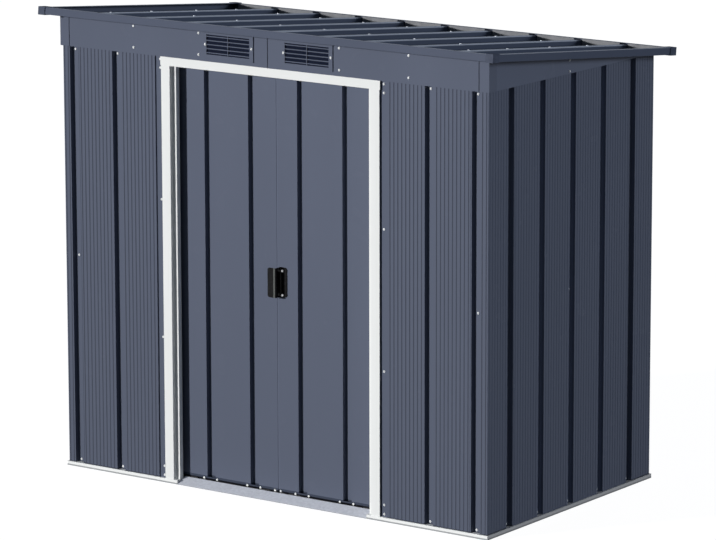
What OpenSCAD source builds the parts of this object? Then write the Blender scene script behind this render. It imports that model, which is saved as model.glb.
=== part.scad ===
// Metal storage shed with a pent roof and a pair of sliding doors.
// Units are millimetres. The front is at -Y, +X is to the right and +Z is up.
// The origin is on the ground, in the middle of the roof's plan.

/* [Walls] */
// Width over the outer faces of the side walls
wall_w = 1900; // [1600:10:2600]
// Depth over the outer faces of the front and back walls
wall_d = 1085; // [900:5:1600]
// Thickness of the sheet of walls, doors and roof
sheet_t = 0.8; // [0.5:0.1:1.2]
// Distance from groove to groove
groove_pitch = 200; // [180:1:230]
// Width of a groove at its mouth
groove_w = 38; // [28:1:44]
// Depth of a groove
groove_d = 15; // [8:0.5:16]
// Run of a groove's slanted flank
groove_flank = 3; // [1:0.5:6]
// Distance between the fine lines rolled into the flats
fine_pitch = 17; // [12:0.5:24]
// Width of a fine line
fine_w = 5; // [3:0.5:7]
// Depth of a fine line
fine_d = 1; // [0.4:0.1:1.4]
// Width of the lap between two sheets
lap_w = 20; // [12:1:30]

/* [Base] */
// Height of the base rail's ledge above the ground
base_h = 16; // [10:1:24]
// How far the base rail stands out from the wall
base_proud = 6; // [3:0.5:10]
// Width of the base rail's foot, inwards from the wall's outer face
base_foot = 60; // [40:1:70]
// Height of the base rail's upstand behind the wall
base_upstand = 34; // [20:1:50]
// Thickness of rails, trims and door frame
rail_t = 1; // [0.8:0.1:1.4]

/* [Doorway] */
// Clear width between the jamb faces
door_open_w = 898; // [700:2:1000]
// Height of the header's underside above the ground
door_open_h = 1571; // [1400:1:1900]
// Height of the header's face, from the doorway to the foot of the fascia
header_h = 33; // [30:1:50]
// Width of a jamb's face
jamb_w = 39; // [30:1:60]
// How far the jambs and the header stand out from the wall
jamb_proud = 3.5; // [2:0.5:6]
// Depth of the step in the jamb's return, behind the wall's outer face
jamb_return = 12.5; // [8:0.5:18]
// Width of that step
jamb_step = 17; // [8:0.5:24]
// Depth of the jamb's second return, behind the step
jamb_inner = 19.5; // [10:0.5:22]
// Rise of the sloping sill, from the ground to its back edge
sill_rise = 23; // [15:1:30]
// How far the front base rails reach past the jambs into the doorway
rail_reach = 1; // [0:0.5:10]
// Gap between an end of the sill and the base rail
sill_end_gap = 1.5; // [0.5:0.5:10]

/* [Doors] */
// Depth of the door's face behind the wall's outer face
door_set = 46; // [42:0.5:60]
// Depth of the fold round a door's edges
door_fold = 20; // [18:0.5:30]
// Running gap between the doors, and between a door and what it passes
door_gap = 5; // [5:0.5:10]
// How far a closed door reaches behind its jamb
door_overlap = 38; // [20:1:50]
// Distance from the meeting line to a door's first groove
door_groove_x = 110; // [90:1:140]
// Height of a door's bottom edge above the ground
door_bottom = 26; // [24:0.5:36]
// Height of the rail's lip that shows under a door's sheet
door_lip = 8.5; // [4:0.5:14]
// How far a door's top edge reaches above the header's underside
door_top_lap = 23; // [15:1:28]
// Clearance of the plastic glides in their tracks
glide_gap = 0.3; // [0.2:0.1:0.5]

/* [Handle] */
// Height of the handle
handle_h = 110; // [80:1:140]
// Height of the handle's middle above the ground
handle_z = 814; // [700:1:1000]
// How far the grip stands out from the door
handle_out = 33; // [22:1:36]
// Width of the handle's flange on the door
handle_flange = 30; // [20:1:40]
// Width of the handle's grip
handle_grip = 34; // [24:1:40]
// Wall of the handle
handle_t = 3; // [2:0.5:4]
// Inner radius of the handle's bends
handle_bend = 3; // [1:0.5:6]

/* [Fascia] */
// How far the fascia and gables stand out from the walls
fascia_proud = 7; // [5:0.5:14]
// Length of the fascia's corner piece along the front
fascia_corner = 41; // [30:1:60]
// Gap between the pieces of the fascia
seam = 3; // [1:0.5:5]
// Width of a vent's opening
vent_w = 194; // [150:1:240]
// Height of a vent's opening
vent_h = 73; // [60:1:76]
// Distance from the middle of the shed to a vent's middle
vent_x = 176; // [160:1:260]
// Height of a vent's middle above the middle of the fascia
vent_rise = 7; // [0:0.5:8]
// Blades in each half of a vent
vent_blades = 5; // [3:1:7]
// Height of a blade
vent_blade = 3.4; // [2:0.2:6]
// Height of the narrow slots over the highest and under the lowest blade
vent_end = 4.8; // [3:0.2:10]
// Width of the bar in the middle of a vent
vent_bar = 2.6; // [2:0.2:8]
// Width of the vent plate's border beside the opening
vent_border = 17; // [10:1:26]
// Thickness of the vent plate
vent_t = 3.5; // [2:0.5:5]

/* [Roof] */
// Overhang of the roof beyond the side walls
side_overhang = 62; // [50:1:120]
// Overhang of the roof beyond the front wall
front_overhang = 66; // [50:1:120]
// Overhang of the roof beyond the back wall
back_overhang = 60; // [50:1:120]
// Height of the roof edge's upper side above the fascia's foot, at the front
roof_front_h = 148; // [146:1:240]
// Height of the roof edge's upper side above the fascia's foot, at the back
roof_back_h = 20; // [16:1:60]
// Height of the edge trim
trim_h = 26; // [24:1:40]
// Width of the edge trim's flanges
trim_w = 25; // [20:1:40]
// Height of a roof rib
rib_h = 18; // [12:0.5:20]
// Width of a roof rib at its foot
rib_foot = 34; // [26:1:44]
// Width of a roof rib at its top
rib_top = 16; // [10:1:22]
// Reach of a roof corner cap along the front and back edges
cap_w = 31; // [26:1:60]
// Reach of a roof corner cap along the side edges
cap_l = 41; // [30:1:60]
// Wall of a roof corner cap
cap_t = 2.5; // [1:0.5:3]

/* [Inner rails] */
// Height of a wall rail
rail_h = 40; // [30:1:50]
// Depth of a wall rail
rail_d = 20; // [15:1:24]
// Height of the middle rail's centre above the ground
mid_rail_z = 800; // [600:1:1000]
// Distance between the two roof beams
beam_span = 400; // [200:5:500]

/* [Hidden] */
$fn = 48;

wall_colour = [0.37, 0.39, 0.45];
roof_colour = [0.33, 0.35, 0.41];
white = [0.92, 0.92, 0.91];
galvanised = [0.70, 0.71, 0.74];
dark = [0.24, 0.27, 0.32];
black = [0.03, 0.03, 0.03];

// A small overshoot for cuts
over = 1;

// Plan of the roof and of the walls under it
roof_w = wall_w + 2 * side_overhang;
roof_d = front_overhang + wall_d + back_overhang;
roof_y = -roof_d / 2 + cap_t;
front_y = roof_y + front_overhang;
back_y = front_y + wall_d;
middle_y = (front_y + back_y) / 2;
wall_x = wall_w / 2;

// Foot of the fascia, and the top of the roof's front edge
wall_head = door_open_h + header_h;
roof_top = wall_head + roof_front_h;

// Pitch of the roof: its frame starts at the foot of the front trim and runs back along the slope
pitch = asin((roof_front_h - roof_back_h) / roof_d);
slope_l = roof_d / cos(pitch) - 2 * cap_t - trim_h * tan(pitch);
roof_z = roof_top - trim_h * cos(pitch) - cap_t;

// Height of the roof sheet's underside over a point of the plan
function roof_under(y) = roof_z + rail_t / cos(pitch) - (y - roof_y) * tan(pitch);

// Levels and depths that the pieces share
wall_foot = base_h;
wall_roof_gap = 2;
seat = 0.1;
inner = groove_d + sheet_t;
rail_gap = 1;
clear_x = wall_x - inner;
rail_end_x = clear_x - rail_gap;
fascia_top = roof_under(front_y - fascia_proud) - wall_roof_gap;
vent_z = (wall_head + fascia_top) / 2 + vent_rise;

// Doorway
jamb_x = door_open_w / 2;
jamb_end = jamb_return + jamb_inner;
jamb_hem = 22;
panel_end = jamb_x + 8;
door_back = door_set + door_fold;
track_front = door_set - door_gap - rail_t;
track_back = door_back + door_gap + rail_t;
track_head = wall_head - 4;
door_top = door_open_h + door_top_lap;
door_w = jamb_x - jamb_step + door_overlap - door_gap / 2;

// Vector helpers for folded sheet: a path is folded into a sheet on one of its sides
function unit(v) = v / norm(v);
function left_of(v) = [-v.y, v.x];
function side_normal(path, i) = left_of(unit(path[i + 1] - path[i]));
function shifted(path, dist) =
    let (last = len(path) - 1)
    [
        for (i = [0:last])
            let (before = side_normal(path, max(i - 1, 0)))
            let (after = side_normal(path, min(i, last - 1)))
            path[i] + dist * (before + after) / (1 + before * after)
    ];
function reversed(list) = [for (i = [len(list) - 1:-1:0]) list[i]];
function tail(list) = [for (i = [1:len(list) - 1]) list[i]];

// Section of a sheet of thickness t on the left of a path, or on its right where t is negative
module folded(path, t) {
    polygon(concat(path, reversed(shifted(path, t))));
}

// Grooves of the long walls lie half a pitch off the middle, those of the side walls on it
corner_flat = 15;
long_n = floor((wall_x - corner_flat - groove_w / 2) / groove_pitch + 0.5);
long_grooves = [for (k = [-long_n:long_n - 1]) (k + 0.5) * groove_pitch];
side_n = floor((wall_d / 2 - corner_flat - groove_w / 2) / groove_pitch);
side_grooves = [for (k = [-side_n:side_n]) middle_y + k * groove_pitch];

// Fine lines fill a flat stretch evenly about its middle
fine_margin = 5;
function fine_lines(a, b) =
    let (n = floor((b - a - 2 * fine_margin) / fine_pitch) + 1)
    [for (i = [0:n - 1]) if (n > 0) (a + b) / 2 + (i - (n - 1) / 2) * fine_pitch];

// Rolled profiles: a point's second value is its height over the sheet's outer plane
function groove_points(c) = [
    [c - groove_w / 2, 0],
    [c - groove_w / 2 + groove_flank, -groove_d],
    [c + groove_w / 2 - groove_flank, -groove_d],
    [c + groove_w / 2, 0]
];
function fine_points(c) = [[c - fine_w / 2, 0], [c, -fine_d], [c + fine_w / 2, 0]];

// The flat stretches of a wall that ends at lo and hi, one before each groove and one after the last
function flats(grooves, lo, hi) =
    let (n = len(grooves))
    [
        for (i = [0:n])
            [i == 0 ? lo : grooves[i - 1] + groove_w / 2, i == n ? hi : grooves[i] - groove_w / 2]
    ];
function inside(c, w, a, b) = c - w / 2 > a && c + w / 2 < b;

// Outer line of a wall sheet from a to b, on a wall with these grooves that ends at lo and hi
function wall_run(a, b, grooves, lo, hi) =
    let (stretches = flats(grooves, lo, hi))
    concat(
        [[a, 0]],
        [
            for (i = [0:len(grooves)])
                let (lines = fine_lines(stretches[i][0], stretches[i][1]))
                let (grooved = i < len(grooves) && inside(grooves[i], groove_w, a, b))
                each concat(
                    [for (c = lines) if (inside(c, fine_w, a, b)) each fine_points(c)],
                    grooved ? groove_points(grooves[i]) : []
                )
        ],
        [[b, 0]]
    );
function long_run(a, b) = wall_run(a, b, long_grooves, -wall_x, wall_x);
function side_run(a, b) = wall_run(a, b, side_grooves, front_y, back_y);
long_lines = [for (f = flats(long_grooves, -wall_x, wall_x)) each fine_lines(f[0], f[1])];
side_lines = [for (f = flats(side_grooves, front_y, back_y)) each fine_lines(f[0], f[1])];

// Moves a place along a wall until it is past any fine line that it would cut
function past_line(u, way, lines) =
    let (hit = [for (c = lines) if (abs(c - u) < fine_w / 2 + over) c])
    len(hit) == 0 ? u : hit[0] + way * (fine_w / 2 + over);

// Places a point of a wall's profile in plan
function on_front(p) = [p.x, front_y - p.y];
function on_back(p) = [p.x, back_y + p.y];
function on_left(p) = [-wall_x - p.y, p.x];

// Corner sheets tuck under the flat sheets just inside the last groove
lap_flat = 5;
lap_gap = 0.4;
joggle = 1;
long_split = long_grooves[len(long_grooves) - 1] - groove_w / 2 - lap_flat;
front_split_y = side_grooves[0] + groove_w / 2 + lap_flat;
back_split_y = side_grooves[len(side_grooves) - 1] - groove_w / 2 - lap_flat;

// A wall run between two places given in either order
function ordered_run(u, v, is_long) =
    is_long ? long_run(min(u, v), max(u, v)) : side_run(min(u, v), max(u, v));

// Half of a corner sheet: the visible leg, then a step down and the tongue under the next sheet
function leg_with_tongue(corner, split, is_long) =
    let (way = sign(split - corner))
    let (tongue_start = split - way * lap_gap)
    let (leg_end = tongue_start - way * joggle)
    let (tongue_end = past_line(split + way * lap_w, way, is_long ? long_lines : side_lines))
    let (leg = ordered_run(corner, leg_end, is_long))
    let (tongue = shifted(ordered_run(tongue_start, tongue_end, is_long), -sheet_t))
    way > 0 ? concat(leg, tongue) : concat(tongue, leg);

// Mirrors a left-hand piece to the right
module right_hand() {
    mirror([1, 0, 0]) children();
}

// Stands a plan section up as a wall and trims it under the slope of the roof
module wall_sheet() {
    difference() {
        translate([0, 0, wall_foot]) linear_extrude(roof_top) children();
        above_roof(wall_roof_gap);
    }
}

// Everything above the roof sheet's underside, lowered by a gap
module above_roof(gap) {
    span = roof_w + roof_d;
    translate([0, roof_y, roof_under(roof_y) - gap])
        rotate([-pitch, 0, 0])
            translate([-span, -span, 0])
                cube([2 * span, 3 * span, span]);
}

// The roof's own frame: Y runs down the slope from the front edge and Z is square to it
module on_roof() {
    translate([0, roof_y, roof_z]) rotate([-pitch, 0, 0]) children();
}

// A section drawn as depth and height, carried along X between two ends
module along_x(x0, x1) {
    translate([x0, 0, 0]) rotate([90, 0, 90]) linear_extrude(x1 - x0) children();
}

// Base rails: a foot on the ground, an outer ledge and an upstand behind the wall
function base_path(foot) = [
    [foot, 0],
    [-base_proud, 0],
    [-base_proud, base_h],
    [inner, base_h],
    [inner, base_h + base_upstand]
];

// Plan of the mitred half of a rail frame that lies along the front edge
module mitre_plan(len_x, reach) {
    polygon([[-len_x / 2, 0], [len_x / 2, 0], [len_x / 2 - reach, reach], [-len_x / 2 + reach, reach]]);
}

// A base rail for a wall of this length, with its outer face along X and mitred ends
module base_rail(wall_l, foot) {
    out_l = wall_l + 2 * base_proud;
    reach = foot + base_proud;
    intersection() {
        along_x(-out_l / 2, out_l / 2) folded(base_path(foot), -rail_t);
        translate([0, -base_proud, -over])
            linear_extrude(base_h + base_upstand + 2 * over) mitre_plan(out_l, reach);
    }
}

// The front rail runs under the jambs, and its upstand stops beside them
track_lap = 20;
rail_end = jamb_x - jamb_step - rail_reach;
module base_rail_front() {
    upstand_end = jamb_x + rail_t + rail_gap;
    depth = track_lap + base_proud + 2 * over;
    color(white)
        translate([0, front_y, 0])
            difference() {
                base_rail(wall_w, track_lap);
                translate([-rail_end, -base_proud - over, -over])
                    cube([2 * rail_end, depth, base_h + 2 * over]);
                translate([-upstand_end, -base_proud - over, base_h])
                    cube([2 * upstand_end, depth, base_upstand + over]);
            }
}

module base_rail_back() {
    color(white) translate([0, back_y, 0]) rotate(180) base_rail(wall_w, base_foot);
}

module base_rail_left() {
    color(white) translate([-wall_x, middle_y, 0]) rotate(-90) base_rail(wall_d, base_foot);
}

module base_rail_right() {
    color(white) right_hand() base_rail_left();
}

// Flat track on the ground that the doors' glides run on
module door_floor_track() {
    reach_x = wall_x - base_foot;
    color(galvanised)
        translate([-reach_x, front_y + track_lap, 0])
            cube([2 * reach_x, track_back - track_lap + rail_t, rail_t]);
}

// Sloping sill between the jambs: a folded ramp with open ends
module door_sill() {
    end_x = rail_end - sill_end_gap;
    lip = 3;
    path = [[-base_proud, 0], [-base_proud, lip], [track_front, sill_rise], [track_front, rail_t]];
    color(galvanised) translate([0, front_y, 0]) along_x(-end_x, end_x) folded(path, -rail_t);
}

module front_panel_left() {
    run = wall_run(-long_split, -panel_end, long_grooves, -wall_x, -panel_end - groove_w);
    color(wall_colour) wall_sheet() folded([for (p = run) on_front(p)], sheet_t);
}

module front_panel_right() {
    color(wall_colour) right_hand() front_panel_left();
}

module front_corner_left() {
    front_leg = [for (p = reversed(leg_with_tongue(-wall_x, -long_split, true))) on_front(p)];
    side_leg = [for (p = leg_with_tongue(front_y, front_split_y, false)) on_left(p)];
    color(wall_colour) wall_sheet() folded(concat(front_leg, tail(side_leg)), -sheet_t);
}

module front_corner_right() {
    color(wall_colour) right_hand() front_corner_left();
}

module side_panel_left() {
    run = side_run(front_split_y, back_split_y);
    color(wall_colour) wall_sheet() folded([for (p = run) on_left(p)], -sheet_t);
}

module side_panel_right() {
    color(wall_colour) right_hand() side_panel_left();
}

module back_corner_left() {
    side_leg = [for (p = leg_with_tongue(back_y, back_split_y, false)) on_left(p)];
    back_leg = [for (p = leg_with_tongue(-wall_x, -long_split, true)) on_back(p)];
    color(wall_colour) wall_sheet() folded(concat(side_leg, tail(back_leg)), -sheet_t);
}

module back_corner_right() {
    color(wall_colour) right_hand() back_corner_left();
}

module back_panel_left() {
    color(wall_colour) wall_sheet() folded([for (p = long_run(-long_split, 0)) on_back(p)], -sheet_t);
}

// The right back sheet has a tongue under the left one
module back_panel_right() {
    tongue = shifted(long_run(past_line(-lap_w, -1, long_lines), lap_gap), -sheet_t);
    run = concat(tongue, long_run(lap_gap + joggle, long_split));
    color(wall_colour) wall_sheet() folded([for (p = run) on_back(p)], -sheet_t);
}

// Channel section against the grooves of a wall, open to the inside
module wall_channel(z) {
    folded([
        [inner + rail_d, z - rail_h / 2],
        [inner, z - rail_h / 2],
        [inner, z + rail_h / 2],
        [inner + rail_d, z + rail_h / 2]
    ], -rail_t);
}

// Middle rails of the back and side walls
module mid_rails() {
    side_l = wall_d - 2 * inner - rail_d - 2 * rail_gap;
    side_y = front_y + inner + rail_gap + side_l / 2;
    color(galvanised) {
        translate([0, back_y, 0]) rotate(180) along_x(-rail_end_x, rail_end_x) wall_channel(mid_rail_z);
        for (side = [-1, 1])
            translate([side * wall_x, side_y, 0])
                rotate(side * 90)
                    along_x(-side_l / 2, side_l / 2) wall_channel(mid_rail_z);
    }
}

// Jamb: a hem on the wall sheet, the face, and a stepped return into the doorway
module door_jamb_left() {
    path = [
        [-jamb_x - jamb_w + jamb_hem, 0],
        [-jamb_x - jamb_w, 0],
        [-jamb_x - jamb_w, -jamb_proud],
        [-jamb_x, -jamb_proud],
        [-jamb_x, jamb_return],
        [-jamb_x + jamb_step, jamb_return],
        [-jamb_x + jamb_step, jamb_end]
    ];
    color(white)
        translate([0, front_y, base_h])
            linear_extrude(door_open_h - base_h) folded(path, rail_t);
}

module door_jamb_right() {
    color(white) right_hand() door_jamb_left();
}

// Header over both jambs, with a return to the door track in the doorway alone
header_lap = 3;
module door_header() {
    end_x = jamb_x + jamb_w + header_lap;
    face = [[0, wall_head], [-jamb_proud, wall_head], [-jamb_proud, door_open_h], [0, door_open_h]];
    color(white)
        translate([0, front_y, 0]) {
            along_x(-end_x, end_x) folded(face, rail_t);
            along_x(-jamb_x, jamb_x) polygon([
                [-jamb_proud, door_open_h],
                [track_front, door_open_h],
                [track_front, door_open_h + rail_t],
                [-jamb_proud, door_open_h + rail_t]
            ]);
        }
}

// Block that cuts the left vent's opening through a sheet that stands so deep behind the wall's face
module vent_cut(depth, t) {
    translate([-vent_x - vent_w / 2, depth - over, vent_z - vent_h / 2])
        cube([vent_w, t + 2 * over, vent_h]);
}

// Front top rail: its lower leg carries the door track and its upper leg the roof, and air passes its web
module front_top_rail() {
    lip = 30;
    path = [
        [track_back + rail_t, track_head],
        [inner, track_head],
        [inner, roof_under(front_y + inner) - seat],
        [inner + lip, roof_under(front_y + inner + lip) - seat]
    ];
    color(galvanised)
        translate([0, front_y, 0])
            difference() {
                along_x(-rail_end_x, rail_end_x) folded(path, -rail_t);
                vent_cut(inner, rail_t);
                right_hand() vent_cut(inner, rail_t);
            }
}

module back_top_rail() {
    path = [
        [-inner - rail_d, roof_under(back_y - inner - rail_d) - seat],
        [-inner, roof_under(back_y - inner) - seat],
        [-inner, roof_under(back_y - inner) - rail_h]
    ];
    color(galvanised) translate([0, back_y, 0]) along_x(-rail_end_x, rail_end_x) folded(path, -rail_t);
}

// Sloping angles along the tops of the side walls
module side_top_rails() {
    start = (track_back + 2 * rail_t + front_overhang) / cos(pitch);
    end = (roof_d - back_overhang - inner - rail_d - rail_gap) / cos(pitch) - rail_h * tan(pitch);
    head = rail_t - seat;
    path = [[-clear_x, head - rail_h], [-clear_x, head], [-clear_x + rail_d, head]];
    color(galvanised)
        for (side = [0, 1])
            mirror([side, 0, 0])
                on_roof()
                    translate([0, end, 0])
                        rotate([90, 0, 0])
                            linear_extrude(end - start) folded(path, -rail_t);
}

// Two strips under the front top rail that guide the tops of the doors
module door_top_track() {
    strip_h = track_head - door_open_h;
    color(galvanised)
        for (depth = [track_front, track_back - rail_t])
            translate([-rail_end_x, front_y + depth, door_open_h]) cube([2 * rail_end_x, rail_t, strip_h]);
}

// Fascia over the doorway: a shallow channel in two halves, cut out for the vents
module fascia_left() {
    path = [
        [0, fascia_top],
        [-fascia_proud, fascia_top],
        [-fascia_proud, wall_head],
        [0, wall_head]
    ];
    color(wall_colour)
        translate([0, front_y, 0])
            difference() {
                along_x(-wall_x - fascia_proud + fascia_corner + seam, -seam / 2) folded(path, sheet_t);
                vent_cut(-fascia_proud, sheet_t);
            }
}

module fascia_right() {
    color(wall_colour) right_hand() fascia_left();
}

// Corner pieces of the fascia, shells that wrap from the front onto the gables
fascia_wrap = 40;
module fascia_corner_plan(skin) {
    x0 = -wall_x - fascia_proud + skin;
    y0 = front_y - fascia_proud + skin;
    polygon([
        [x0, y0],
        [-wall_x - fascia_proud + fascia_corner, y0],
        [-wall_x - fascia_proud + fascia_corner, front_y],
        [-wall_x, front_y],
        [-wall_x, front_y + fascia_wrap],
        [x0, front_y + fascia_wrap]
    ]);
}

module fascia_corners() {
    color(wall_colour)
        for (side = [0, 1])
            mirror([side, 0, 0])
                difference() {
                    translate([0, 0, wall_head]) linear_extrude(roof_front_h) fascia_corner_plan(0);
                    translate([0, 0, wall_head + sheet_t])
                        linear_extrude(roof_front_h) fascia_corner_plan(sheet_t);
                    above_roof(wall_roof_gap);
                }
}

// Vent: a moulded plate on the fascia, with thin blades between rows of slots on both sides of a bar
module vent_left() {
    border_z = 13;
    plate = [vent_w + 2 * vent_border, vent_t, vent_h + 2 * border_z];
    pitch_z = (vent_h - 2 * vent_end - vent_blade) / (vent_blades - 1);
    slot_w = (vent_w - vent_bar) / 2;
    color(wall_colour)
        translate([-vent_x - vent_w / 2, front_y - fascia_proud - vent_t, vent_z - vent_h / 2])
            difference() {
                translate([-vent_border, 0, -border_z]) cube(plate);
                for (row = [0:vent_blades])
                    for (column = [0, 1]) {
                        low = row == 0 ? 0 : vent_end + vent_blade + (row - 1) * pitch_z;
                        high = row == vent_blades ? vent_h : vent_end + row * pitch_z;
                        translate([column * (slot_w + vent_bar), -over, low])
                            cube([slot_w, vent_t + 2 * over, high - low]);
                    }
            }
}

module vent_right() {
    color(wall_colour) right_hand() vent_left();
}

// Gable: a tapering shell from the fascia's corner to the back, closed by the slope of the roof
module gable_left() {
    tip_h = 6;
    tip_y = roof_y + (roof_z + rail_t - wall_roof_gap - wall_head - tip_h) / tan(pitch);
    start_y = front_y + fascia_wrap + seat;
    end_y = min(tip_y, back_y);
    face_x = -wall_x - fascia_proud;
    path = [[face_x, roof_top], [face_x, wall_head], [-wall_x, wall_head]];
    color(wall_colour)
        difference() {
            translate([0, end_y, 0]) rotate([90, 0, 0]) linear_extrude(end_y - start_y) folded(path, sheet_t);
            above_roof(wall_roof_gap);
        }
}

module gable_right() {
    color(wall_colour) right_hand() gable_left();
}

// Two channels under the roof sheet, from side to side
module roof_beams() {
    lip = 24;
    half = clear_x - rail_d - rail_gap;
    head = rail_t - seat;
    path = [[0, head - rail_h], [0, head], [lip, head], [lip, head - rail_h]];
    color(galvanised)
        for (side = [-1, 1])
            on_roof()
                translate([0, slope_l / 2 + side * beam_span / 2 - lip / 2, 0])
                    along_x(-half, half) folded(path, -rail_t);
}

// Roof sheets: the ribs stand half a sheet's lap apart over the middle rib
rib_n = floor((roof_w / 2 - trim_w - rib_foot) / groove_pitch);
rib_lap = 6;
function rib_points(c) = [
    [c - rib_foot / 2, 0],
    [c - rib_top / 2, rib_h],
    [c + rib_top / 2, rib_h],
    [c + rib_foot / 2, 0]
];
function roof_run(a, b) =
    concat(
        [[a, 0]],
        [
            for (k = [-rib_n:rib_n])
                let (c = k * groove_pitch)
                if (c - rib_foot / 2 > a && c + rib_foot / 2 < b) each rib_points(c)
        ],
        [[b, 0]]
    );

// Carries a section of the roof sheet from the front trim to the back trim
module roof_sheet() {
    edge_gap = 2;
    run_l = slope_l - 2 * (rail_t + edge_gap);
    color(roof_colour)
        on_roof()
            translate([0, rail_t + edge_gap + run_l, rail_t + sheet_t])
                rotate([90, 0, 0])
                    linear_extrude(run_l) children();
}

roof_edge = roof_w / 2 - cap_t - rail_t - 2;
module roof_sheet_left() {
    roof_sheet() folded(roof_run(-roof_edge, rib_foot / 2 + rib_lap), -sheet_t);
}

// The right roof sheet rides over the middle rib of the left one
module roof_sheet_right() {
    over_end = rib_foot / 2 + rib_lap + lap_gap;
    upper = shifted(roof_run(-rib_foot / 2 - rib_lap, over_end), sheet_t);
    roof_sheet() folded(concat(upper, roof_run(over_end + joggle, roof_edge)), -sheet_t);
}

// Edge trims: channels that take the edges of the roof sheet
trim_x = roof_w / 2 - cap_t;
function trim_path(reach) = [[reach, trim_h], [0, trim_h], [0, 0], [reach, 0]];

module roof_trim_front() {
    color(roof_colour) on_roof() along_x(-trim_x, trim_x) folded(trim_path(trim_w), rail_t);
}

module roof_trim_back() {
    color(roof_colour)
        on_roof()
            translate([0, slope_l, 0])
                mirror([0, 1, 0])
                    along_x(-trim_x, trim_x) folded(trim_path(trim_w), rail_t);
}

module roof_trim_left() {
    color(roof_colour)
        on_roof()
            translate([-trim_x, slope_l - trim_w, 0])
                rotate([90, 0, 0])
                    linear_extrude(slope_l - 2 * trim_w) folded(trim_path(trim_w), rail_t);
}

module roof_trim_right() {
    color(roof_colour) right_hand() roof_trim_left();
}

// A cap over each corner of the roof, open towards the trims
module roof_corner_caps() {
    reach = cap_w + cap_l;
    color(roof_colour)
        on_roof()
            for (side_x = [0, 1])
                for (side_y = [0, 1])
                    translate([0, side_y * slope_l, 0])
                        mirror([side_x, 0, 0])
                            mirror([0, side_y, 0])
                                translate([-trim_x, 0, 0])
                                    difference() {
                                        translate([-cap_t, -cap_t, -cap_t])
                                            cube([cap_w, cap_l, trim_h + 2 * cap_t]);
                                        cube([reach, reach, trim_h]);
                                    }
}

// Door sheet: two grooves between folded edges
module door_panel(x0, x1, grooves) {
    path = concat(
        [[x0, -door_fold], [x0, 0]],
        [for (c = grooves) each groove_points(c)],
        [[x1, 0], [x1, -door_fold]]
    );
    color(wall_colour)
        translate([0, 0, door_bottom + door_lip])
            linear_extrude(door_top - rail_t - door_bottom - door_lip)
                folded([for (p = path) [p.x, front_y + door_set - p.y]], sheet_t);
}

// Rails of a door: the lower one shows its lip under the sheet, and both have a leg behind the sheet
door_rail_h = 30;
module door_rails(x0, x1) {
    leg = door_set + inner;
    lip = [[door_set, door_lip], [door_set, 0], [door_back, 0]];
    flange = [[door_set, 0], [door_back, 0]];
    color(dark)
        translate([0, front_y, 0]) {
            translate([0, 0, door_bottom]) {
                along_x(x0, x1) folded(lip, rail_t);
                along_x(x0 + sheet_t, x1 - sheet_t)
                    translate([leg, 0]) square([rail_t, door_rail_h]);
            }
            translate([0, 0, door_top])
                mirror([0, 0, 1])
                    along_x(x0 + sheet_t, x1 - sheet_t) {
                        folded(flange, rail_t);
                        translate([leg, 0]) square([rail_t, door_rail_h]);
                    }
        }
}

// Plastic glides: shoes on the floor track and guides in the top track
module door_glides(x0, x1) {
    shoe_l = 50;
    shoe_w = 12;
    inset = 40;
    guide_low = track_front + rail_t + glide_gap;
    guide_w = track_back - rail_t - glide_gap - guide_low;
    guide_h = track_head - door_top - 2 * glide_gap;
    color(black)
        for (x = [x0 + inset, x1 - inset - shoe_l]) {
            translate([x, front_y + (door_set + door_back - shoe_w) / 2, rail_t + glide_gap])
                cube([shoe_l, shoe_w, door_bottom - rail_t - glide_gap]);
            translate([x, front_y + guide_low, door_top]) cube([shoe_l, guide_w, guide_h]);
        }
}

left_grooves = [-door_groove_x - groove_pitch, -door_groove_x];
right_grooves = [door_groove_x, door_groove_x + groove_pitch];
near = door_gap / 2;
far = near + door_w;

module left_door_panel() {
    door_panel(-far, -near, left_grooves);
}

module left_door_rails() {
    door_rails(-far, -near);
}

module left_door_glides() {
    door_glides(-far, -near);
}

module right_door_panel() {
    door_panel(near, far, right_grooves);
}

module right_door_rails() {
    door_rails(near, far);
}

module right_door_glides() {
    door_glides(near, far);
}

// Rectangle with round corners, standing on its lower left corner
module rounded(size, r) {
    translate([r, 0]) square([size.x - 2 * r, size.y]);
    translate([0, r]) square([size.x, size.y - 2 * r]);
    for (x = [r, size.x - r])
        for (y = [r, size.y - r])
            translate([x, y]) circle(r);
}

// Quarter bend from one direction to the next, about a centre
bend_steps = 6;
function quarter(centre, r, from, to) =
    [for (i = [0:bend_steps]) centre + r * (from * cos(90 * i / bend_steps) + to * sin(90 * i / bend_steps))];

// Pull handle: a flange on the right door, a web and a grip that reaches over the meeting line
handle_x = 13;
module door_handle() {
    corner_r = 9;
    flange_r = handle_bend + handle_t;
    grip_y = door_set - handle_out + handle_t;
    path = concat(
        [[handle_x + handle_flange, door_set]],
        quarter([handle_x + flange_r, door_set - flange_r], flange_r, [0, 1], [-1, 0]),
        quarter([handle_x - handle_bend, grip_y + handle_bend], handle_bend, [1, 0], [0, -1]),
        [[handle_x - handle_grip, grip_y]]
    );
    low_z = handle_z - handle_h / 2;
    color(black)
        intersection() {
            translate([0, front_y, low_z]) linear_extrude(handle_h) folded(path, handle_t);
            translate([handle_x - handle_grip, front_y + door_set + over, low_z])
                rotate([90, 0, 0])
                    linear_extrude(handle_out + 2 * over)
                        rounded([handle_grip + handle_flange, handle_h], corner_r);
        }
}

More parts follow.
